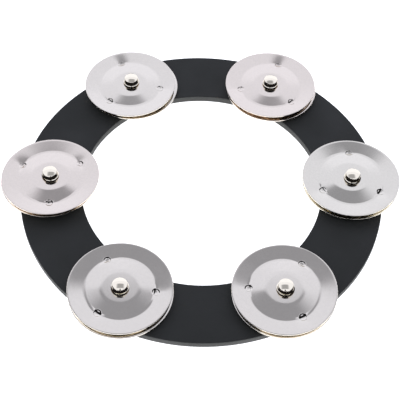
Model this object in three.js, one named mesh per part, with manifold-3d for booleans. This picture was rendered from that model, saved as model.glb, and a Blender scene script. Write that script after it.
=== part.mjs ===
// Jingle ring: a flat moulded ring that lies on a cymbal, with six pairs of steel jingles on its top face.
// Each pair rides loosely on a pin: a post riveted through the ring, a spacer washer and a press-fitted head.
// Millimetres, +Z up. The origin is the middle of the ring's underside, and station 1 lies on +X.

import * as THREE from "three";
import { mergeVertices } from "three/addons/utils/BufferGeometryUtils.js";
import Module from "manifold-3d";

const wasm = await Module();
wasm.setup();

// ---- driving dimensions ----
const FIT_GAP = 0.1; // between a fixed piece and the pocket that holds it
const LOOSE_GAP = 0.05; // between loose pieces that rest on each other

const RING_OUTER_RADIUS = 76.2;
const RING_INNER_RADIUS = 50.7;
const RING_THICKNESS = 3.2;
const RING_EDGE_BREAK = 0.3;

const STATION_COUNT = 6;
const STATION_RADIUS = 63.45;

const POST_SHANK_RADIUS = 1.55;
const POST_BARREL_RADIUS = 2.1;
const POST_FLANGE_RADIUS = 5.5;
const POST_FLANGE_THICKNESS = 1.0;
const FLANGE_RECESS = 0.15; // how far the post's flange stays inside the ring's underside

const HEAD_TOP_RADIUS = 3.0;
const HEAD_BASE_RADIUS = 3.25;
const HEAD_HEIGHT = 2.78;
const HEAD_EDGE = 0.15;
const HEAD_CROWN = 0.5; // rise of the domed top above its broken edge
const COLLAR_RADIUS = 3.55; // the head's narrow collar, which holds the jingles down
const COLLAR_THICKNESS = 0.15;
const COLLAR_SLOPE_RISE = 0.1; // from the collar's edge up to the head's side
const HEAD_BORE_DEPTH = 1.5;

const WASHER_INNER_RADIUS = 1.75;
const WASHER_OUTER_RADIUS = 4.2;
const WASHER_THICKNESS = 1.45;

const JINGLE_RIM_RADIUS = 20.4;
const JINGLE_HOLE_RADIUS = 2.4;
const JINGLE_BOSS_RADIUS = 6.3; // flat middle
const JINGLE_SHOULDER_RADIUS = 8.6; // where the rounded shoulder has become a straight cone
const JINGLE_CREASE_RADIUS = 13.8; // valley between the cone and the flange
const JINGLE_SHEET = 0.4;
const JINGLE_CONE_SLOPE = THREE.MathUtils.degToRad(7.7);
const JINGLE_FLANGE_SLOPE = THREE.MathUtils.degToRad(6.5);
const CREASE_GAP = 0.4; // stand-off between the creases of a pair, set by the dimples
const JINGLE_PLAY = 0.5; // free travel of a level pair below the head

const DIMPLE_COUNT = 3;
const DIMPLE_RADIUS = 1.5;
const DIMPLE_DEPTH = 0.4;
const DIMPLE_BULGE = 0.35; // how far a dimple stands out on the other side of the sheet
const DIMPLE_BULGE_RADIUS = 1.6;

const ROUND_SEGMENTS = 16; // small turned pieces
const JINGLE_SEGMENTS = 30;
const RING_SEGMENTS = 72;
const DIMPLE_SEGMENTS = 6;

// How each pair has come to rest, station 1 first and counterclockwise. The lean is the rise towards +X
// and +Y in degrees, the shifts are the sideways slack taken up by the two discs, and the spin is where
// the upper disc's first dimple points.
const SETTLED_PAIRS = [
  { spin: 87, lean: [1.5, 0], upperShift: [-0.5, 0.5], lowerShift: [-0.5, 0.4] },
  { spin: 71, lean: [0, 0], upperShift: [0, 0], lowerShift: [0.5, -0.4] },
  { spin: 110, lean: [0, 0], upperShift: [-0.5, -0.4], lowerShift: [0.6, 0] },
  { spin: 33, lean: [0, -1], upperShift: [0, -0.1], lowerShift: [-0.5, 0.4] },
  { spin: 114, lean: [-1.5, 0.5], upperShift: [0, 0.4], lowerShift: [0.2, -0.2] },
  { spin: 57, lean: [1.5, 0], upperShift: [-0.3, 0.2], lowerShift: [-0.3, 0.1] },
];
const DIMPLE_OFFSET = 60; // degrees between the dimples of the two discs of a pair

// ---- heights that follow from the dimensions ----
const JINGLE_BOSS_HEIGHT =
  (JINGLE_SHOULDER_RADIUS - JINGLE_BOSS_RADIUS) * Math.tan(JINGLE_CONE_SLOPE / 2) +
  (JINGLE_CREASE_RADIUS - JINGLE_SHOULDER_RADIUS) * Math.tan(JINGLE_CONE_SLOPE);
const JINGLE_RIM_HEIGHT =
  (JINGLE_RIM_RADIUS - JINGLE_CREASE_RADIUS) * Math.tan(JINGLE_FLANGE_SLOPE);
const WASHER_BOTTOM = RING_THICKNESS + LOOSE_GAP;
const WASHER_TOP = WASHER_BOTTOM + WASHER_THICKNESS;
const LOWER_CREASE_LEVEL = WASHER_TOP + LOOSE_GAP + JINGLE_BOSS_HEIGHT;
const UPPER_CREASE_LEVEL = LOWER_CREASE_LEVEL + CREASE_GAP + 2 * JINGLE_SHEET;
const HEAD_BOTTOM = UPPER_CREASE_LEVEL + JINGLE_BOSS_HEIGHT + JINGLE_PLAY;
const HEAD_TOP = HEAD_BOTTOM + HEAD_HEIGHT;
const FLANGE_TOP = FLANGE_RECESS + POST_FLANGE_THICKNESS;

// ---- materials ----
const finish = (color, roughness, metalness) =>
  new THREE.MeshStandardMaterial({ color, roughness, metalness });
const BLACK_PLASTIC = [0x2d3434, 0.7, 0];
const BRUSHED_STEEL = [0xd7d2d6, 0.3, 1];
const POLISHED_NICKEL = [0xe8e6e2, 0.08, 1];
const BLACK_NYLON = [0x1b1c1d, 0.55, 0];

// ---- shape helpers ----

// Turns a closed outline of [radius, height] points, counterclockwise, about the Z axis.
function revolve(outline, segments) {
  const points = outline.map(([radius, height]) => new THREE.Vector2(radius, height));
  return new THREE.LatheGeometry(points, segments).rotateX(Math.PI / 2);
}

function toSolid(geometry) {
  const bare = geometry.clone();
  bare.deleteAttribute("normal");
  bare.deleteAttribute("uv");
  const merged = mergeVertices(bare);
  const mesh = new wasm.Mesh({
    numProp: 3,
    vertProperties: merged.getAttribute("position").array,
    triVerts: new Uint32Array(merged.index.array),
  });
  return new wasm.Manifold(mesh);
}

function toGeometry(solid) {
  const mesh = solid.getMesh();
  const geometry = new THREE.BufferGeometry();
  geometry.setAttribute("position", new THREE.BufferAttribute(mesh.vertProperties, 3));
  geometry.setIndex(new THREE.BufferAttribute(mesh.triVerts, 1));
  geometry.computeVertexNormals();
  return geometry;
}

function piece(name, geometry, look) {
  const mesh = new THREE.Mesh(geometry, finish(...look));
  mesh.name = name;
  return mesh;
}

function stationPoint(index) {
  const angle = (2 * Math.PI * index) / STATION_COUNT;
  return new THREE.Vector3(STATION_RADIUS * Math.cos(angle), STATION_RADIUS * Math.sin(angle), 0);
}

// ---- sub-parts ----

// The flat ring, with a stepped hole at each station for a post's barrel and its flange underneath.
function ringGeometry() {
  const blank = revolve(
    [
      [RING_INNER_RADIUS + RING_EDGE_BREAK, 0],
      [RING_OUTER_RADIUS - RING_EDGE_BREAK, 0],
      [RING_OUTER_RADIUS, RING_EDGE_BREAK],
      [RING_OUTER_RADIUS, RING_THICKNESS - RING_EDGE_BREAK],
      [RING_OUTER_RADIUS - RING_EDGE_BREAK, RING_THICKNESS],
      [RING_INNER_RADIUS + RING_EDGE_BREAK, RING_THICKNESS],
      [RING_INNER_RADIUS, RING_THICKNESS - RING_EDGE_BREAK],
      [RING_INNER_RADIUS, RING_EDGE_BREAK],
      [RING_INNER_RADIUS + RING_EDGE_BREAK, 0],
    ],
    RING_SEGMENTS,
  );
  const overrun = 1; // the cutter runs past both faces of the ring
  const cutter = revolve(
    [
      [0, -overrun],
      [POST_FLANGE_RADIUS + FIT_GAP, -overrun],
      [POST_FLANGE_RADIUS + FIT_GAP, FLANGE_TOP + FIT_GAP],
      [POST_BARREL_RADIUS + FIT_GAP, FLANGE_TOP + FIT_GAP],
      [POST_BARREL_RADIUS + FIT_GAP, RING_THICKNESS + overrun],
      [0, RING_THICKNESS + overrun],
    ],
    ROUND_SEGMENTS,
  );
  const cutterSolid = toSolid(cutter);
  let ring = toSolid(blank);
  for (let index = 0; index < STATION_COUNT; index++) {
    const { x, y } = stationPoint(index);
    ring = ring.subtract(cutterSolid.translate([x, y, 0]));
  }
  return toGeometry(ring);
}

// The pin: a flange inside the underside, a barrel through the ring and a shank up into the head.
function postGeometry() {
  const shankTop = HEAD_BOTTOM + HEAD_BORE_DEPTH - FIT_GAP;
  return revolve(
    [
      [0, FLANGE_RECESS],
      [POST_FLANGE_RADIUS, FLANGE_RECESS],
      [POST_FLANGE_RADIUS, FLANGE_TOP],
      [POST_BARREL_RADIUS, FLANGE_TOP],
      [POST_BARREL_RADIUS, RING_THICKNESS],
      [POST_SHANK_RADIUS, RING_THICKNESS],
      [POST_SHANK_RADIUS, shankTop],
      [0, shankTop],
    ],
    ROUND_SEGMENTS,
  );
}

// The polished cap over the shank: a sloping collar at its foot, a side that narrows upwards, a domed
// top and a blind bore.
function headGeometry() {
  const bore = POST_SHANK_RADIUS + FIT_GAP;
  const collarTop = HEAD_BOTTOM + COLLAR_THICKNESS;
  const crownBottom = HEAD_TOP - HEAD_CROWN;
  const crownRadius = HEAD_TOP_RADIUS - HEAD_EDGE;
  return revolve(
    [
      [0, HEAD_BOTTOM + HEAD_BORE_DEPTH],
      [bore, HEAD_BOTTOM + HEAD_BORE_DEPTH],
      [bore, HEAD_BOTTOM],
      [COLLAR_RADIUS, HEAD_BOTTOM],
      [COLLAR_RADIUS, collarTop],
      [HEAD_BASE_RADIUS, collarTop + COLLAR_SLOPE_RISE],
      [HEAD_TOP_RADIUS, crownBottom - HEAD_EDGE],
      [crownRadius, crownBottom],
      [crownRadius / 2, HEAD_TOP - HEAD_CROWN / 4],
      [0, HEAD_TOP],
    ],
    ROUND_SEGMENTS,
  );
}

// The loose spacer between the ring and the lower jingle.
function washerGeometry() {
  return revolve(
    [
      [WASHER_INNER_RADIUS, WASHER_BOTTOM],
      [WASHER_OUTER_RADIUS, WASHER_BOTTOM],
      [WASHER_OUTER_RADIUS, WASHER_TOP],
      [WASHER_INNER_RADIUS, WASHER_TOP],
      [WASHER_INNER_RADIUS, WASHER_BOTTOM],
    ],
    ROUND_SEGMENTS,
  );
}

// A spherical cap that bulges down from height 0, under a plug that reaches up to the given height.
function dimpleTool(radius, depth, plugHeight) {
  const sphereRadius = (radius ** 2 + depth ** 2) / (2 * depth);
  const middle = radius / 2;
  const middleDepth = depth - (sphereRadius - Math.sqrt(sphereRadius ** 2 - middle ** 2));
  return toSolid(
    revolve(
      [
        [0, -depth],
        [middle, -middleDepth],
        [radius, 0],
        [radius, plugHeight],
        [0, plugHeight],
      ],
      DIMPLE_SEGMENTS,
    ),
  );
}

// One jingle, face up, its crease at height 0: a flat boss, a cone down to the crease and a rising flange.
function jingleGeometry() {
  const face = [
    [JINGLE_HOLE_RADIUS, JINGLE_BOSS_HEIGHT],
    [JINGLE_BOSS_RADIUS, JINGLE_BOSS_HEIGHT],
    [
      JINGLE_SHOULDER_RADIUS,
      (JINGLE_CREASE_RADIUS - JINGLE_SHOULDER_RADIUS) * Math.tan(JINGLE_CONE_SLOPE),
    ],
    [JINGLE_CREASE_RADIUS, 0],
    [JINGLE_RIM_RADIUS, JINGLE_RIM_HEIGHT],
  ];
  const back = face.map(([radius, height]) => [radius, height - JINGLE_SHEET]);
  const outline = [...back, ...face.reverse(), back[0]];
  const bulge = dimpleTool(DIMPLE_BULGE_RADIUS, DIMPLE_BULGE, JINGLE_SHEET / 2);
  const punch = dimpleTool(DIMPLE_RADIUS, DIMPLE_DEPTH, JINGLE_SHEET);
  let disc = toSolid(revolve(outline, JINGLE_SEGMENTS));
  for (let index = 0; index < DIMPLE_COUNT; index++) {
    const angle = (2 * Math.PI * index) / DIMPLE_COUNT;
    const x = JINGLE_CREASE_RADIUS * Math.cos(angle);
    const y = JINGLE_CREASE_RADIUS * Math.sin(angle);
    disc = disc.add(bulge.translate([x, y, -JINGLE_SHEET]));
    disc = disc.subtract(punch.translate([x, y, 0]));
  }
  return toGeometry(disc);
}

// Sets a jingle in its place on the post: turned over or not, spun, leant and shifted as it has settled.
function settle(mesh, creaseLevel, shift, pair, turnedOver) {
  const [riseX, riseY] = pair.lean.map(THREE.MathUtils.degToRad);
  const lift = WASHER_OUTER_RADIUS * Math.sin(Math.hypot(riseX, riseY));
  const spin = turnedOver ? -(pair.spin + DIMPLE_OFFSET) : pair.spin;
  const tilted = new THREE.Group();
  tilted.position.set(shift[0], shift[1], creaseLevel + lift);
  tilted.rotation.set(riseY, -riseX, 0);
  mesh.rotation.set(turnedOver ? Math.PI : 0, 0, THREE.MathUtils.degToRad(spin));
  tilted.add(mesh);
  return tilted;
}

// ---- assembly ----
const ringShape = ringGeometry();
const postShape = postGeometry();
const headShape = headGeometry();
const washerShape = washerGeometry();
const jingleShape = jingleGeometry();

function station(index) {
  const number = index + 1;
  const pair = SETTLED_PAIRS[index];
  const group = new THREE.Group();
  group.position.copy(stationPoint(index));
  const lower = piece(`lower_jingle_${number}`, jingleShape, BRUSHED_STEEL);
  const upper = piece(`upper_jingle_${number}`, jingleShape, BRUSHED_STEEL);
  group.add(
    piece(`post_${number}`, postShape, POLISHED_NICKEL),
    piece(`washer_${number}`, washerShape, BLACK_NYLON),
    settle(lower, LOWER_CREASE_LEVEL, pair.lowerShift, pair, true),
    settle(upper, UPPER_CREASE_LEVEL, pair.upperShift, pair, false),
    piece(`head_${number}`, headShape, POLISHED_NICKEL),
  );
  return group;
}

const jingleRing = new THREE.Group();
jingleRing.add(piece("ring", ringShape, BLACK_PLASTIC));
for (let index = 0; index < STATION_COUNT; index++) {
  jingleRing.add(station(index));
}

export default jingleRing;
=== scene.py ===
"""Jingle ring: the visual model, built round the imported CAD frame. Lengths are in metres."""

import math
import random

import bpy
import numpy as np
from mathutils import Matrix, Vector


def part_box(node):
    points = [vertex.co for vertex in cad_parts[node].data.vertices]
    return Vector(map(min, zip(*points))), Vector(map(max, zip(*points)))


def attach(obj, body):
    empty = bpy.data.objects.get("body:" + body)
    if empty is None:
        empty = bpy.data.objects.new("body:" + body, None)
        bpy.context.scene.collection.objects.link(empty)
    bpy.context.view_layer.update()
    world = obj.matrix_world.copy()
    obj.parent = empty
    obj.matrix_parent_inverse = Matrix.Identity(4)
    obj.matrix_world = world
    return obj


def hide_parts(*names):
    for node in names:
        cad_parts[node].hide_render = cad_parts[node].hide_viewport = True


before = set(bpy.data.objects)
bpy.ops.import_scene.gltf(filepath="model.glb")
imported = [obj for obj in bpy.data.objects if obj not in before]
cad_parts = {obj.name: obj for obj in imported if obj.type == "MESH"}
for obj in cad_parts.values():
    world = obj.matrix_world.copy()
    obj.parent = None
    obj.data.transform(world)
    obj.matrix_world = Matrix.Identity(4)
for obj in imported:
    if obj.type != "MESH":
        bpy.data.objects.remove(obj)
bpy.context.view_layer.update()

MM = 0.001
STATIONS = range(1, 7)

# ---- jingle disc, radii from the pin outwards, heights below the flat boss ----
HOLE_RADIUS = 2.4 * MM
BOSS_RADIUS = 6.3 * MM
SHOULDER_RADIUS = 8.6 * MM
CREASE_RADIUS = 13.8 * MM
RIM_RADIUS = 20.4 * MM
SHEET = 0.4 * MM
CONE_RISE = math.tan(math.radians(7.7))
FLANGE_RISE = math.tan(math.radians(6.5))
CREASE_HALF_WIDTH = 0.8 * MM  # the fold between cone and flange is an arc this far either way
EDGE_ROUNDING = 0.12 * MM
DIMPLE_COUNT = 3
DIMPLE_FLOOR_RADIUS = 1.05 * MM  # a dimple's shallow floor
DIMPLE_FLOOR_SLOPE = math.tan(math.radians(9))
DIMPLE_WALL_RADIUS = 1.4 * MM  # where its wall is steepest
DIMPLE_WALL_SLOPE = math.tan(math.radians(28))
DIMPLE_LIP_RADIUS = 1.75 * MM  # where its wall meets the sheet
DIMPLE_BACK_SHARE = 0.1  # how much of the dimple shows on the back, where the other disc is close
DIMPLE_PULL = 0.29 * MM  # how far the punch drags the crease down beside a dimple
DIMPLE_PULL_ANGLE = math.radians(12)
DIMPLE_PULL_FADE = 1.15  # how quickly that fades towards the rim
WAVE_HEIGHT = 0.035 * MM  # slight waviness of the pressed flange
WAVE_LOBES = (2, 3, 4, 5)

# ---- mesh of a jingle: steps between its radii, and spokes beside and between its dimples ----
BOSS_STEPS = 5
SHOULDER_STEPS = 8
CONE_STEPS = 5
CREASE_STEPS = 36
FLANGE_STEPS = 7
EDGE_STEPS = 3
DIMPLE_SPOKES = 20  # on either side of a dimple's middle
DIMPLE_SPOKE_ANGLE = math.radians(8)
PLAIN_SPOKES = 32

# ---- colours, as a range from darkest to lightest that each material's mottle wanders through ----
PLASTIC_COLOURS = (0.0121, 0.0129, 0.0110), (0.0164, 0.0175, 0.0149)
NICKEL_COLOURS = (0.81, 0.745, 0.61), (0.85, 0.785, 0.645)
NYLON_COLOURS = (0.010, 0.010, 0.011), (0.020, 0.020, 0.021)
STEEL_MOTTLE = 0.045  # how far a jingle's colour wanders either way, as a share of it

# ---- steel of the jingles, which differ a little from sheet to sheet ----
JINGLE_TONES = {
    "plain": (0.645, 0.602, 0.532),
    "rosy": (0.655, 0.592, 0.524),
    "cool": (0.640, 0.606, 0.532),
}
ROLLING_DIRECTIONS = {"plain": math.radians(70), "rosy": math.radians(25), "cool": math.radians(-60)}
STATION_TONES = ("cool", "rosy", "plain", "rosy", "plain", "plain")
ROLLING_CELLS = (120, 5200, 120)  # cells to the metre: long along the rolling lines, fine across them
DISC_SEEDS = {"lower": 100, "upper": 200}  # for the waviness, plus the station's number

# ---- pin ----
SHANK_RADIUS = 1.55 * MM
BARREL_RADIUS = 2.1 * MM
FLANGE_THICKNESS = 1.0 * MM
HEAD_TOP_RADIUS = 3.0 * MM
HEAD_BASE_RADIUS = 3.25 * MM
HEAD_EDGE = 0.12 * MM
HEAD_CROWN = 0.5 * MM
HEAD_EDGE_STEPS = 6
HEAD_DOME_STEPS = 9
COLLAR_THICKNESS = 0.15 * MM
COLLAR_SLOPE_RISE = 0.1 * MM
COLLAR_EDGE = 0.05 * MM
HEAD_BORE_DEPTH = 1.5 * MM
POST_CHAMFER = 0.3 * MM
FLANGE_EDGE = 0.3 * MM
FLANGE_KNEE_SHARE = 0.55  # the flange is slightly domed underneath, and bends at this share of its radius
FLANGE_KNEE_RISE = 0.02 * MM
FLANGE_RIM_RISE = 0.08 * MM
WASHER_HOLE_RADIUS = 1.75 * MM
WASHER_EDGE = 0.25 * MM
FIT_GAP = 0.1 * MM

# ---- ring ----
RING_CORNER = 0.35 * MM
RING_SUPPORT_BAND = 0.4 * MM  # a narrow flat band beside each corner, which keeps the shading crisp
RING_SEGMENTS = 240
ROUND_SEGMENTS = 64  # of the pins, the washers and the holes for the pins
CORNER_STEPS = 4  # steps on the small rounded edges of the pins and washers
RING_CORNER_STEPS = 5

# ---- camera ----
CAMERA_AZIMUTH = math.radians(-2.0)
CAMERA_ELEVATION = math.radians(51.83)
CAMERA_DISTANCE = 387.3 * MM
CAMERA_AIM = Vector((-0.66, -6.48, 0.0)) * MM
CAMERA_ROLL = math.radians(1.94)
CAMERA_LENS = 81.65
CAMERA_SENSOR = 36

# ---- studio: how bright each part is ----
TABLE_GLOW = 2.4  # the light table, as the metal sees it
TABLE_GLOW_TO_CAMERA = 1.0
OVERHEAD_GLOW = 1.15
LOW_GLOW = 1.285  # low ahead, and the low band behind the camera
HORIZON_GLOW = 0.35
PANEL_GLOW = 0.465
DARK_GLOW = 0.017
MATT_FILL = 1.1  # what the dark directions still give to matt surfaces
BACKDROP = 1.1  # what the camera itself sees beyond the table
DAYLIGHT = (0.955, 0.99, 1.15)
GLOSSY_BOUNCES = 12  # light finds its way out of the gap between two discs

# ---- studio: where each part ends, as (edge, softness) ----
# Along and across are measured on a level ceiling one unit up; ahead, aside and up on a unit sphere.
LIT_AHEAD = (0.0, 0.08)  # ahead less aside: the whole quarter in front of the camera is lit
LIT_OVERHEAD_BACK = (-0.16, 0.03)  # along
LIT_OVERHEAD_SIDE = (0.52, 0.06)  # across, less the widening
LIT_OVERHEAD_WIDENING = 0.75  # how fast the lit field widens with along
BOOM_SIDE = (0.05, 0.02)  # across: a dark arm that reaches into the field from behind
BOOM_FRONT = (0.04, 0.02)  # along
PANEL_BACK = (0.09, 0.03)  # along: the grey panel
PANEL_FRONT = (0.59, 0.05)  # along
PANEL_SIDE = (0.31, 0.12)  # across
LOW_GLOW_START = (1.1, 0.2)  # along
HORIZON_TOP = (0.15, 0.05)  # up
BAND_BOTTOM = (0.0, 0.01)  # up: the low band behind the camera
BAND_TOP = (0.30, 0.03)  # up
BAND_SIDE = (0.0, 0.1)  # behind less aside
STAND_SIDE = (0.10, 0.02)  # aside: the dark stand in the middle of that band

# ---- studio: floor ----
FLOOR_HALF_SIZE = 6.0
FLOOR_GAP = 0.1 * MM  # below the ring


# ======================================================================================
# Reading the frame
# ======================================================================================


def node_points(node):
    """The CAD node's vertices, in the row frame."""
    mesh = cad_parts[node].data
    points = np.empty(len(mesh.vertices) * 3)
    mesh.vertices.foreach_get("co", points)
    return points.reshape(-1, 3)


def axis_point(node):
    """Where an upright turned node's axis meets the ground plane."""
    low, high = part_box(node)
    middle = (low + high) / 2
    return Vector((middle.x, middle.y, 0.0))


def jingle_pose(node):
    """The jingle's own frame, with its origin on the boss face and Z out of that face, and the angle
    from that frame's X to a dimple."""
    points = node_points(node)
    centre = points.mean(axis=0)
    axis = np.linalg.svd(points - centre, full_matrices=False)[2][2]
    heights = (points - centre) @ axis
    radii = np.linalg.norm(points - centre - np.outer(heights, axis), axis=1)
    boss = radii < (HOLE_RADIUS + BOSS_RADIUS) / 2
    if heights[boss].mean() < heights[~boss].mean():
        axis = -axis
        heights = -heights
    dimple = Vector(points[heights.argmin()] - centre)
    z_axis = Vector(axis)
    x_axis = (Vector((1, 0, 0)) - z_axis * z_axis.x).normalized()
    y_axis = z_axis.cross(x_axis)
    pose = Matrix((x_axis, y_axis, z_axis)).transposed().to_4x4()
    pose.translation = Vector(centre) + z_axis * heights[boss].max()
    return pose, math.atan2(dimple.dot(y_axis), dimple.dot(x_axis))


# ======================================================================================
# Mesh helpers
# ======================================================================================


def new_object(name, vertices, faces):
    """A smooth-shaded mesh object in the scene."""
    mesh = bpy.data.meshes.new(name)
    mesh.from_pydata([tuple(v) for v in vertices], [], faces)
    mesh.validate()
    mesh.shade_smooth()
    made = bpy.data.objects.new(name, mesh)
    bpy.context.scene.collection.objects.link(made)
    return made


def arc(centre, radius, start, end, steps=CORNER_STEPS):
    """Points on an arc between two angles in degrees."""
    angles = [math.radians(start + (end - start) * i / steps) for i in range(steps + 1)]
    return [
        (centre[0] + radius * math.cos(a), centre[1] + radius * math.sin(a)) for a in angles
    ]


def revolve(name, outline, segments, centre=Vector(), start=0.0):
    """Turns a closed counterclockwise outline of (radius, height) points about an upright axis."""
    vertices = []
    loops = []
    for radius, height in outline:
        if radius < 1e-9:
            loops.append([len(vertices)] * segments)
            vertices.append((centre.x, centre.y, height))
            continue
        loops.append(list(range(len(vertices), len(vertices) + segments)))
        for i in range(segments):
            angle = start + 2 * math.pi * i / segments
            x = centre.x + radius * math.cos(angle)
            y = centre.y + radius * math.sin(angle)
            vertices.append((x, y, height))
    faces = []
    for lower, upper in zip(loops, loops[1:] + loops[:1]):
        for i in range(segments):
            j = (i + 1) % segments
            corners = [lower[i], lower[j], upper[j], upper[i]]
            distinct = list(dict.fromkeys(corners))
            if len(distinct) > 2:
                faces.append(distinct)
    return new_object(name, vertices, faces)


def sharpen(piece, degrees):
    """Shades every edge that bends more than this as a sharp one."""
    piece.data.set_sharp_from_angle(angle=math.radians(degrees))


def stand_for(piece, node, body, material):
    """The piece takes the CAD node's place, moves with its body and wears its finish."""
    piece.data.materials.append(material)
    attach(piece, body)
    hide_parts(node)


# ======================================================================================
# Materials
# ======================================================================================


def new_material(name):
    """A node material, its node tree and its shader node."""
    material = bpy.data.materials.new(name)
    material.use_nodes = True
    tree = material.node_tree
    return material, tree, tree.nodes["Principled BSDF"]


def add_node(tree, kind, **settings):
    """A node of this kind, with its inputs or its properties set by name."""
    node = tree.nodes.new(kind)
    for name, value in settings.items():
        if name in node.inputs:
            node.inputs[name].default_value = value
        else:
            setattr(node, name, value)
    return node


def object_coordinates(tree, scale=(1, 1, 1), turn=0.0):
    """The piece's own coordinates, turned about its Z and then stretched."""
    coordinates = add_node(tree, "ShaderNodeTexCoord")
    mapping = add_node(tree, "ShaderNodeMapping", vector_type="TEXTURE")
    mapping.inputs["Rotation"].default_value = (0, 0, turn)
    mapping.inputs["Scale"].default_value = [1 / factor for factor in scale]
    tree.links.new(coordinates.outputs["Object"], mapping.inputs["Vector"])
    return mapping.outputs["Vector"]


def noise(tree, vector, scale, detail):
    """Soft random variation, around 0.5, with so many cells to the metre."""
    texture = add_node(tree, "ShaderNodeTexNoise", Scale=scale, Detail=detail, Roughness=0.5)
    tree.links.new(vector, texture.inputs["Vector"])
    return texture.outputs["Fac"]


def remap(tree, value, low, high):
    """A noise value, which mostly lies between 0.3 and 0.7, turned into a range of finished values."""
    node = add_node(tree, "ShaderNodeMapRange")
    node.inputs["From Min"].default_value = 0.3
    node.inputs["From Max"].default_value = 0.7
    node.inputs["To Min"].default_value = low
    node.inputs["To Max"].default_value = high
    tree.links.new(value, node.inputs["Value"])
    return node.outputs["Result"]


def blend_colours(tree, factor, first, second):
    """A colour between the two, picked by the factor."""
    node = add_node(tree, "ShaderNodeMix", data_type="RGBA")
    tree.links.new(factor, node.inputs["Factor"])
    colour_a, colour_b = node.inputs[6], node.inputs[7]
    colour_a.default_value = (*first, 1)
    colour_b.default_value = (*second, 1)
    return node.outputs[2]


def add_bump(tree, shader, height, distance, strength):
    """Fine relief that is too small to model, such as grain and rolling lines."""
    bump = add_node(tree, "ShaderNodeBump", Distance=distance, Strength=strength)
    tree.links.new(height, bump.inputs["Height"])
    tree.links.new(bump.outputs["Normal"], shader.inputs["Normal"])


def ring_material():
    """Matt black moulded plastic: a fine pebbled grain and faint cloudy wear."""
    material, tree, shader = new_material("black_moulded_plastic")
    position = object_coordinates(tree)
    grain = noise(tree, position, scale=2600, detail=3)
    clouds = noise(tree, position, scale=45, detail=4)
    colour = blend_colours(tree, clouds, *PLASTIC_COLOURS)
    tree.links.new(colour, shader.inputs["Base Color"])
    tree.links.new(remap(tree, clouds, low=0.62, high=0.78), shader.inputs["Roughness"])
    shader.inputs["Specular IOR Level"].default_value = 0.4
    add_bump(tree, shader, grain, distance=0.06 * MM, strength=0.6)
    return material


def jingle_material(tone):
    """Satin stainless sheet: fine rolling lines one way, a fine mottle and cloudy roughness."""
    material, tree, shader = new_material(f"satin_stainless_{tone}")
    stretched = object_coordinates(tree, ROLLING_CELLS, ROLLING_DIRECTIONS[tone])
    rolled = noise(tree, stretched, scale=1, detail=2)
    clouds = noise(tree, object_coordinates(tree), scale=160, detail=3)
    mottle = noise(tree, object_coordinates(tree), scale=1100, detail=2)
    darker = [(1 - STEEL_MOTTLE) * channel for channel in JINGLE_TONES[tone]]
    lighter = [(1 + STEEL_MOTTLE) * channel for channel in JINGLE_TONES[tone]]
    tree.links.new(blend_colours(tree, mottle, darker, lighter), shader.inputs["Base Color"])
    shader.inputs["Metallic"].default_value = 1.0
    tree.links.new(remap(tree, clouds, low=0.08, high=0.12), shader.inputs["Roughness"])
    add_bump(tree, shader, rolled, distance=0.002 * MM, strength=0.5)
    return material


def polished_material():
    """Polished nickel plate with the faintest polishing haze."""
    material, tree, shader = new_material("polished_nickel")
    haze = noise(tree, object_coordinates(tree), scale=900, detail=3)
    tree.links.new(blend_colours(tree, haze, *NICKEL_COLOURS), shader.inputs["Base Color"])
    shader.inputs["Metallic"].default_value = 1.0
    tree.links.new(remap(tree, haze, low=0.03, high=0.06), shader.inputs["Roughness"])
    return material


def nylon_material():
    """Black nylon with a faint moulded mottle."""
    material, tree, shader = new_material("black_nylon")
    mottle = noise(tree, object_coordinates(tree), scale=1400, detail=3)
    tree.links.new(blend_colours(tree, mottle, *NYLON_COLOURS), shader.inputs["Base Color"])
    tree.links.new(remap(tree, mottle, low=0.42, high=0.58), shader.inputs["Roughness"])
    add_bump(tree, shader, mottle, distance=0.02 * MM, strength=0.5)
    return material


# ======================================================================================
# Jingles
# ======================================================================================


def jingle_radii():
    """Radii of the mesh rings on a jingle's face, closer together where the sheet bends."""
    crease_start = CREASE_RADIUS - DIMPLE_LIP_RADIUS
    crease_end = CREASE_RADIUS + DIMPLE_LIP_RADIUS
    rim = RIM_RADIUS - EDGE_ROUNDING
    stretches = [
        (HOLE_RADIUS + EDGE_ROUNDING, BOSS_RADIUS, BOSS_STEPS),
        (BOSS_RADIUS, SHOULDER_RADIUS, SHOULDER_STEPS),
        (SHOULDER_RADIUS, crease_start, CONE_STEPS),
        (crease_start, crease_end, CREASE_STEPS),
        (crease_end, rim, FLANGE_STEPS),
    ]
    radii = []
    for start, end, steps in stretches:
        radii += [start + (end - start) * i / steps for i in range(steps)]
    return radii + [rim]


def jingle_angles():
    """Angles of the mesh spokes, closer together beside each dimple."""
    sector = 2 * math.pi / DIMPLE_COUNT
    dense = DIMPLE_SPOKE_ANGLE
    offsets = [dense * i / DIMPLE_SPOKES for i in range(-DIMPLE_SPOKES, DIMPLE_SPOKES)]
    offsets += [dense + (sector - 2 * dense) * i / PLAIN_SPOKES for i in range(PLAIN_SPOKES)]
    return np.array([sector * k + offset for k in range(DIMPLE_COUNT) for offset in offsets])


def section_height(radius):
    """Height of the plain pressed section: flat boss, rounded shoulder, cone, crease and flange."""
    shoulder = SHOULDER_RADIUS - BOSS_RADIUS
    if radius < SHOULDER_RADIUS:
        t = max(0.0, (radius - BOSS_RADIUS) / shoulder)
        return -shoulder * CONE_RISE * (t**3 - t**4 / 2)
    crease_level = -CONE_RISE * (shoulder / 2 + CREASE_RADIUS - SHOULDER_RADIUS)
    offset = radius - CREASE_RADIUS
    tilt = (FLANGE_RISE - CONE_RISE) / 2
    fold = (FLANGE_RISE + CONE_RISE) / 2
    away = abs(offset)
    if away < CREASE_HALF_WIDTH:
        away = (offset**2 / CREASE_HALF_WIDTH + CREASE_HALF_WIDTH) / 2
    return crease_level + tilt * offset + fold * away


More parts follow.
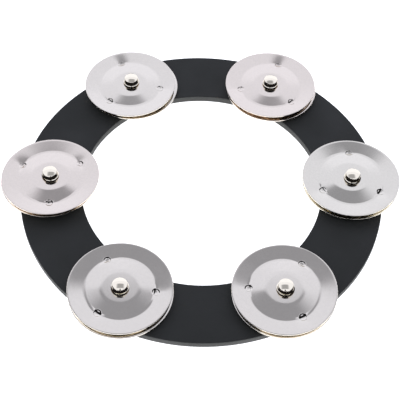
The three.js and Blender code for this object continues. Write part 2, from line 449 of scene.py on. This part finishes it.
def from_nearest_dimple(angles):
    """Each angle, measured from the middle of the dimple nearest to it."""
    sector = 2 * math.pi / DIMPLE_COUNT
    return (angles + sector / 2) % sector - sector / 2


def crease_pull(radius, angles):
    """How far the punch has dragged the sheet down beside the dimples, fading out towards the rim."""
    inside = (radius - CREASE_RADIUS) / CREASE_HALF_WIDTH + 1
    outside = (RIM_RADIUS - radius) / (RIM_RADIUS - CREASE_RADIUS)
    reach = max(0.0, min(inside, outside**DIMPLE_PULL_FADE))
    return DIMPLE_PULL * reach * np.exp(-((from_nearest_dimple(angles) / DIMPLE_PULL_ANGLE) ** 2))


def waviness(radius, angles, waves):
    """Waviness of the sheet, which grows towards the rim."""
    share = (radius / RIM_RADIUS) ** 2
    return sum(
        WAVE_HEIGHT * share / lobes * np.cos(lobes * angles + phase) for lobes, phase in waves
    )


def face_height(radius, angles, waves):
    """Height of the jingle's face below its boss, at one radius and all angles."""
    return section_height(radius) - crease_pull(radius, angles) + waviness(radius, angles, waves)


def dimple_drop(radius, angles):
    """How deep the punched dimples are, at one radius and all angles."""
    around = from_nearest_dimple(angles)
    distance = np.hypot(radius * np.cos(around) - CREASE_RADIUS, radius * np.sin(around))
    radii = (0.0, DIMPLE_FLOOR_RADIUS, DIMPLE_WALL_RADIUS, DIMPLE_LIP_RADIUS)
    slopes = (0.0, DIMPLE_FLOOR_SLOPE, DIMPLE_WALL_SLOPE, 0.0)
    drop = np.zeros_like(distance)
    for start, end, inner, outer in zip(radii, radii[1:], slopes, slopes[1:]):
        here = np.clip(distance, start, end)
        slope = np.interp(here, (start, end), (inner, outer))
        drop += (slope + outer) / 2 * (end - here)
    return drop


def jingle_rings():
    """(radius, depth into the sheet, dimple share) of every mesh ring, round the whole section."""
    face = jingle_radii()
    quarter = [math.pi / 2 * i / EDGE_STEPS for i in range(1, EDGE_STEPS)]
    rings = [(radius, 0.0, 1.0) for radius in face]
    inset = [(EDGE_ROUNDING * (1 - math.sin(a)), EDGE_ROUNDING * (1 - math.cos(a))) for a in quarter]
    rings += [(RIM_RADIUS - i, d, 1.0) for i, d in inset]
    rings += [(RIM_RADIUS, EDGE_ROUNDING, 1.0), (RIM_RADIUS, SHEET - EDGE_ROUNDING, 1.0)]
    rings += [(RIM_RADIUS - i, SHEET - d, 1.0) for i, d in reversed(inset)]
    rings += [(radius, SHEET, DIMPLE_BACK_SHARE) for radius in reversed(face)]
    rings += [(HOLE_RADIUS + i, SHEET - d, 1.0) for i, d in inset]
    rings += [(HOLE_RADIUS, SHEET - EDGE_ROUNDING, 1.0), (HOLE_RADIUS, EDGE_ROUNDING, 1.0)]
    rings += [(HOLE_RADIUS + i, d, 1.0) for i, d in reversed(inset)]
    return rings


def build_jingle(name, pose, spin, seed):
    """One pressed disc: flat boss, cone, crease with three dimples, and a rising flange."""
    chance = random.Random(seed)
    waves = [(lobes, chance.uniform(0, 2 * math.pi)) for lobes in WAVE_LOBES]
    angles = jingle_angles()
    count = len(angles)
    rings = jingle_rings()
    vertices = []
    for radius, depth, share in rings:
        height = face_height(radius, angles, waves) - depth - share * dimple_drop(radius, angles)
        x = radius * np.cos(angles + spin)
        y = radius * np.sin(angles + spin)
        vertices.append(np.stack([x, y, height], 1))
    faces = []
    for i in range(len(rings)):
        this = i * count
        following = (i + 1) % len(rings) * count
        for j in range(count):
            k = (j + 1) % count
            faces.append((this + j, following + j, following + k, this + k))
    made = new_object(name, np.concatenate(vertices), faces)
    made.matrix_world = pose
    return made


# ======================================================================================
# Pins and washers
# ======================================================================================


def build_head(number):
    """A polished cap: a sloping collar at its foot, a domed top and a blind bore for the shank."""
    low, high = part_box(f"head_{number}")
    collar = (high.x - low.x) / 2 - COLLAR_EDGE
    collar_top = low.z + COLLAR_THICKNESS
    crown = HEAD_TOP_RADIUS - HEAD_EDGE
    bore = SHANK_RADIUS + FIT_GAP
    ceiling = low.z + HEAD_BORE_DEPTH
    edge_level = high.z - HEAD_CROWN - HEAD_EDGE
    dome_radius = (crown**2 + HEAD_CROWN**2) / (2 * HEAD_CROWN)
    dome_angle = math.degrees(math.asin(crown / dome_radius))
    slope = math.degrees(math.atan2(COLLAR_SLOPE_RISE, collar - HEAD_BASE_RADIUS))
    outline = [(0, ceiling), (bore, ceiling), (bore, low.z), (bore + FIT_GAP, low.z)]
    outline += arc((collar, low.z + COLLAR_EDGE), COLLAR_EDGE, -90, 0)
    outline += arc((collar, collar_top - COLLAR_EDGE), COLLAR_EDGE, 0, 90 - slope)
    outline += [(HEAD_BASE_RADIUS, collar_top + COLLAR_SLOPE_RISE)]
    outline += arc((crown, edge_level), HEAD_EDGE, 0, 90 - dome_angle, HEAD_EDGE_STEPS)
    dome = arc((0, high.z - dome_radius), dome_radius, 90 - dome_angle, 90, HEAD_DOME_STEPS)
    outline += dome[1:-1]
    outline += [(0, high.z)]
    made = revolve(f"polished_head_{number}", outline, ROUND_SEGMENTS, axis_point(f"head_{number}"))
    sharpen(made, degrees=25)
    return made


def build_post(number):
    """The riveted pin: a domed base flange, a barrel and a shank with a chamfered tip."""
    low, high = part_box(f"post_{number}")
    flange = (high.x - low.x) / 2
    flange_top = low.z + FLANGE_THICKNESS
    barrel_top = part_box("ring")[1].z
    chamfer = POST_CHAMFER
    edge = FLANGE_EDGE
    outline = [(0, low.z), (flange * FLANGE_KNEE_SHARE, low.z + FLANGE_KNEE_RISE)]
    outline += arc((flange - edge, low.z + FLANGE_RIM_RISE + edge), edge, -90, 0)
    outline += arc((flange - edge, flange_top - edge), edge, 0, 90)
    outline += [(BARREL_RADIUS, flange_top), (BARREL_RADIUS, barrel_top)]
    outline += [(SHANK_RADIUS, barrel_top), (SHANK_RADIUS, high.z - chamfer)]
    outline += [(SHANK_RADIUS - chamfer, high.z), (0, high.z)]
    made = revolve(f"turned_post_{number}", outline, ROUND_SEGMENTS, axis_point(f"head_{number}"))
    sharpen(made, degrees=35)
    return made


def build_washer(number):
    """A moulded nylon spacer with rounded edges."""
    low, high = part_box(f"washer_{number}")
    outer = (high.x - low.x) / 2
    edge = WASHER_EDGE
    inner = WASHER_HOLE_RADIUS
    outline = arc((outer - edge, low.z + edge), edge, -90, 0)
    outline += arc((outer - edge, high.z - edge), edge, 0, 90)
    outline += arc((inner + edge, high.z - edge), edge, 90, 180)
    outline += arc((inner + edge, low.z + edge), edge, 180, 270)
    return revolve(f"nylon_washer_{number}", outline, ROUND_SEGMENTS, axis_point(f"washer_{number}"))


# ======================================================================================
# Ring
# ======================================================================================


def ring_blank(inner, outer, low, high):
    """The plain annulus, with rounded corners and a narrow support band beside each of them."""
    corner = RING_CORNER
    steps = RING_CORNER_STEPS
    band = corner + RING_SUPPORT_BAND
    outline = [(inner + band, low), (outer - band, low)]
    outline += arc((outer - corner, low + corner), corner, -90, 0, steps)
    outline += arc((outer - corner, high - corner), corner, 0, 90, steps)
    outline += [(outer - band, high), (inner + band, high)]
    outline += arc((inner + corner, high - corner), corner, 90, 180, steps)
    outline += arc((inner + corner, low + corner), corner, 180, 270, steps)
    return revolve("moulded_ring", outline, RING_SEGMENTS)


def pocket_cutter(number, low, high):
    """The stepped hole for one post: a recess underneath and a bore through.

    It starts half a facet round, so that none of its corners falls on an edge of the ring's facets.
    """
    post_low, post_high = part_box(f"post_{number}")
    recess = (post_high.x - post_low.x) / 2 + FIT_GAP
    recess_top = post_low.z + FLANGE_THICKNESS + FIT_GAP
    bore = BARREL_RADIUS + FIT_GAP
    overrun = 1 * MM
    half_facet = math.pi / ROUND_SEGMENTS
    outline = [(0, low - overrun), (recess, low - overrun), (recess, recess_top)]
    outline += [(bore, recess_top), (bore, high + overrun), (0, high + overrun)]
    centre = axis_point(f"head_{number}")
    return revolve(f"cutter_{number}", outline, ROUND_SEGMENTS, centre, half_facet)


def build_ring():
    """The flat annulus with the six stepped holes cut out of it."""
    low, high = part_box("ring")
    points = node_points("ring")
    inner = np.hypot(points[:, 0], points[:, 1]).min()
    ring = ring_blank(inner, high.y, low.z, high.z)
    cutters = [pocket_cutter(number, low.z, high.z) for number in STATIONS]
    for cutter in cutters:
        cut = ring.modifiers.new("pocket", "BOOLEAN")
        cut.operation = "DIFFERENCE"
        cut.solver = "EXACT"
        cut.object = cutter
    bpy.context.view_layer.update()
    evaluated = ring.evaluated_get(bpy.context.evaluated_depsgraph_get())
    shaped = bpy.data.meshes.new_from_object(evaluated)
    ring.modifiers.clear()
    ring.data = shaped
    ring.data.name = "moulded_ring"
    for cutter in cutters:
        bpy.data.objects.remove(cutter)
    ring.data.shade_smooth()
    sharpen(ring, degrees=40)
    return ring


# ======================================================================================
# Studio
# ======================================================================================


def build_camera():
    """The camera looks down at the ring from the front."""
    data = bpy.data.cameras.new("camera")
    data.lens = CAMERA_LENS
    data.sensor_width = CAMERA_SENSOR
    data.clip_start = 0.01
    camera = bpy.data.objects.new("camera", data)
    bpy.context.scene.collection.objects.link(camera)
    place = CAMERA_DISTANCE * Vector(
        (
            math.sin(CAMERA_AZIMUTH) * math.cos(CAMERA_ELEVATION),
            -math.cos(CAMERA_AZIMUTH) * math.cos(CAMERA_ELEVATION),
            math.sin(CAMERA_ELEVATION),
        )
    )
    turn = (CAMERA_AIM - place).to_track_quat("-Z", "Y").to_matrix().to_4x4()
    camera.matrix_world = Matrix.Translation(place) @ turn @ Matrix.Rotation(CAMERA_ROLL, 4, "Z")
    bpy.context.scene.camera = camera
    return camera


def build_heading(camera):
    """An empty that turns with the camera's heading, so that the studio stays behind the camera."""
    heading = bpy.data.objects.new("studio_heading", None)
    bpy.context.scene.collection.objects.link(heading)
    follow = heading.constraints.new("COPY_ROTATION")
    follow.target = camera
    follow.use_x = False
    follow.use_y = False
    follow.euler_order = "XYZ"
    return heading


def build_floor():
    """A plain white light table, brighter in the metal than in the camera."""
    signs = [(-1, -1), (1, -1), (1, 1), (-1, 1)]
    corners = [(x * FLOOR_HALF_SIZE, y * FLOOR_HALF_SIZE, -FLOOR_GAP) for x, y in signs]
    floor = new_object("floor", corners, [(0, 1, 2, 3)])
    material, tree, shader = new_material("white_light_table")
    shader.inputs["Base Color"].default_value = (0.8, 0.8, 0.8, 1)
    shader.inputs["Roughness"].default_value = 0.8
    shader.inputs["Emission Color"].default_value = (1, 1, 1, 1)
    camera_sees = add_node(tree, "ShaderNodeLightPath").outputs["Is Camera Ray"]
    glow = Sums(tree).mix(camera_sees, TABLE_GLOW, TABLE_GLOW_TO_CAMERA)
    tree.links.new(glow, shader.inputs["Emission Strength"])
    floor.data.materials.append(material)


class Sums:
    """Small helper that writes arithmetic as shader nodes."""

    def __init__(self, tree):
        self.tree = tree

    def apply(self, operation, *values):
        """The outcome of one arithmetic node. A value is a number or another node's outcome."""
        node = self.tree.nodes.new("ShaderNodeMath")
        node.operation = operation
        for socket, value in zip(node.inputs, values):
            if isinstance(value, (int, float)):
                socket.default_value = value
            else:
                self.tree.links.new(value, socket)
        return node.outputs[0]

    def step(self, value, edge, softness):
        """0 below the edge, 1 above it, smooth across the softness."""
        node = self.tree.nodes.new("ShaderNodeMapRange")
        node.interpolation_type = "SMOOTHSTEP"
        self.tree.links.new(value, node.inputs["Value"])
        node.inputs["From Min"].default_value = edge - softness
        node.inputs["From Max"].default_value = edge + softness
        return node.outputs["Result"]

    def outside(self, mask):
        """1 where the mask is 0, and 0 where it is 1."""
        return self.apply("SUBTRACT", 1.0, mask)

    def below(self, value, edge, softness):
        """1 below the edge, 0 above it, smooth across the softness."""
        return self.outside(self.step(value, edge, softness))

    def both(self, first, second):
        """1 where both masks are 1."""
        return self.apply("MULTIPLY", first, second)

    def mix(self, factor, first, second):
        """The first value where the factor is 0, and the second where it is 1."""
        rise = self.apply("MULTIPLY", factor, self.apply("SUBTRACT", second, first))
        return self.apply("ADD", first, rise)


def overhead_mask(sums, along, across):
    """The lit field overhead, with the notch that the boom leaves in it."""
    widening = sums.apply("MULTIPLY", along, LIT_OVERHEAD_WIDENING)
    narrow = sums.below(sums.apply("SUBTRACT", across, widening), *LIT_OVERHEAD_SIDE)
    field = sums.both(narrow, sums.step(along, *LIT_OVERHEAD_BACK))
    boom = sums.both(sums.below(across, *BOOM_SIDE), sums.below(along, *BOOM_FRONT))
    return sums.both(field, sums.outside(boom))


def panel_mask(sums, along, across):
    """The grey panel in the lit field."""
    panel = sums.both(sums.step(along, *PANEL_BACK), sums.below(along, *PANEL_FRONT))
    return sums.both(panel, sums.below(across, *PANEL_SIDE))


def band_mask(sums, ahead, aside, up):
    """The low bright band behind the camera, with the dark stand in the middle of it."""
    behind = sums.apply("MULTIPLY", ahead, -1.0)
    band = sums.both(sums.step(up, *BAND_BOTTOM), sums.below(up, *BAND_TOP))
    band = sums.both(band, sums.step(sums.apply("SUBTRACT", behind, aside), *BAND_SIDE))
    return sums.both(band, sums.outside(sums.below(aside, *STAND_SIDE)))


def build_world(heading):
    """The studio as the metal sees it, in directions of the camera's heading.

    White ahead and overhead with a grey panel in it, dim at the horizon, dark to the sides and behind,
    and a low bright band behind the camera. Matt surfaces get a soft fill from the dark directions too,
    which the metal doesn't show, and the camera sees plain white.
    """
    world = bpy.data.worlds.new("studio")
    bpy.context.scene.world = world
    world.use_nodes = True
    tree = world.node_tree
    sums = Sums(tree)
    coordinates = add_node(tree, "ShaderNodeTexCoord")
    coordinates.object = heading
    split = add_node(tree, "ShaderNodeSeparateXYZ")
    tree.links.new(coordinates.outputs["Object"], split.inputs[0])
    side, ahead, up = split.outputs
    aside = sums.apply("ABSOLUTE", side)
    height = sums.apply("MAXIMUM", up, 0.001)  # so that nothing is divided by zero
    across = sums.apply("DIVIDE", aside, height)
    along = sums.apply("DIVIDE", ahead, height)

    in_front = sums.step(sums.apply("SUBTRACT", ahead, aside), *LIT_AHEAD)
    lit = sums.apply("MAXIMUM", in_front, overhead_mask(sums, along, across))
    bright = sums.mix(sums.step(along, *LOW_GLOW_START), OVERHEAD_GLOW, LOW_GLOW)
    bright = sums.mix(sums.step(up, *HORIZON_TOP), HORIZON_GLOW, bright)
    bright = sums.mix(panel_mask(sums, along, across), bright, PANEL_GLOW)
    unlit = sums.mix(band_mask(sums, ahead, aside, up), DARK_GLOW, LOW_GLOW)
    path = add_node(tree, "ShaderNodeLightPath")
    unlit = sums.mix(path.outputs["Is Diffuse Ray"], unlit, MATT_FILL)
    radiance = sums.mix(lit, unlit, bright)
    radiance = sums.mix(path.outputs["Is Camera Ray"], radiance, BACKDROP)

    tint = add_node(tree, "ShaderNodeVectorMath", operation="SCALE")
    tint.inputs[0].default_value = DAYLIGHT
    tree.links.new(radiance, tint.inputs["Scale"])
    tree.links.new(tint.outputs["Vector"], tree.nodes["Background"].inputs["Color"])


# ======================================================================================
# Assembly
# ======================================================================================

black_plastic = ring_material()
satin_steel = {tone: jingle_material(tone) for tone in JINGLE_TONES}
polished_steel = polished_material()
black_nylon = nylon_material()

stand_for(build_ring(), "ring", "root", black_plastic)
for number in STATIONS:
    stand_for(build_post(number), f"post_{number}", "root", polished_steel)
    stand_for(build_head(number), f"head_{number}", "root", polished_steel)
    washer = f"washer_{number}"
    stand_for(build_washer(number), washer, washer, black_nylon)
    for level, first_seed in DISC_SEEDS.items():
        node = f"{level}_jingle_{number}"
        disc = build_jingle(f"{level}_disc_{number}", *jingle_pose(node), first_seed + number)
        stand_for(disc, node, node, satin_steel[STATION_TONES[number - 1]])

camera = build_camera()
build_world(build_heading(camera))
build_floor()
bpy.context.scene.view_settings.view_transform = "Standard"
bpy.context.scene.cycles.glossy_bounces = GLOSSY_BOUNCES
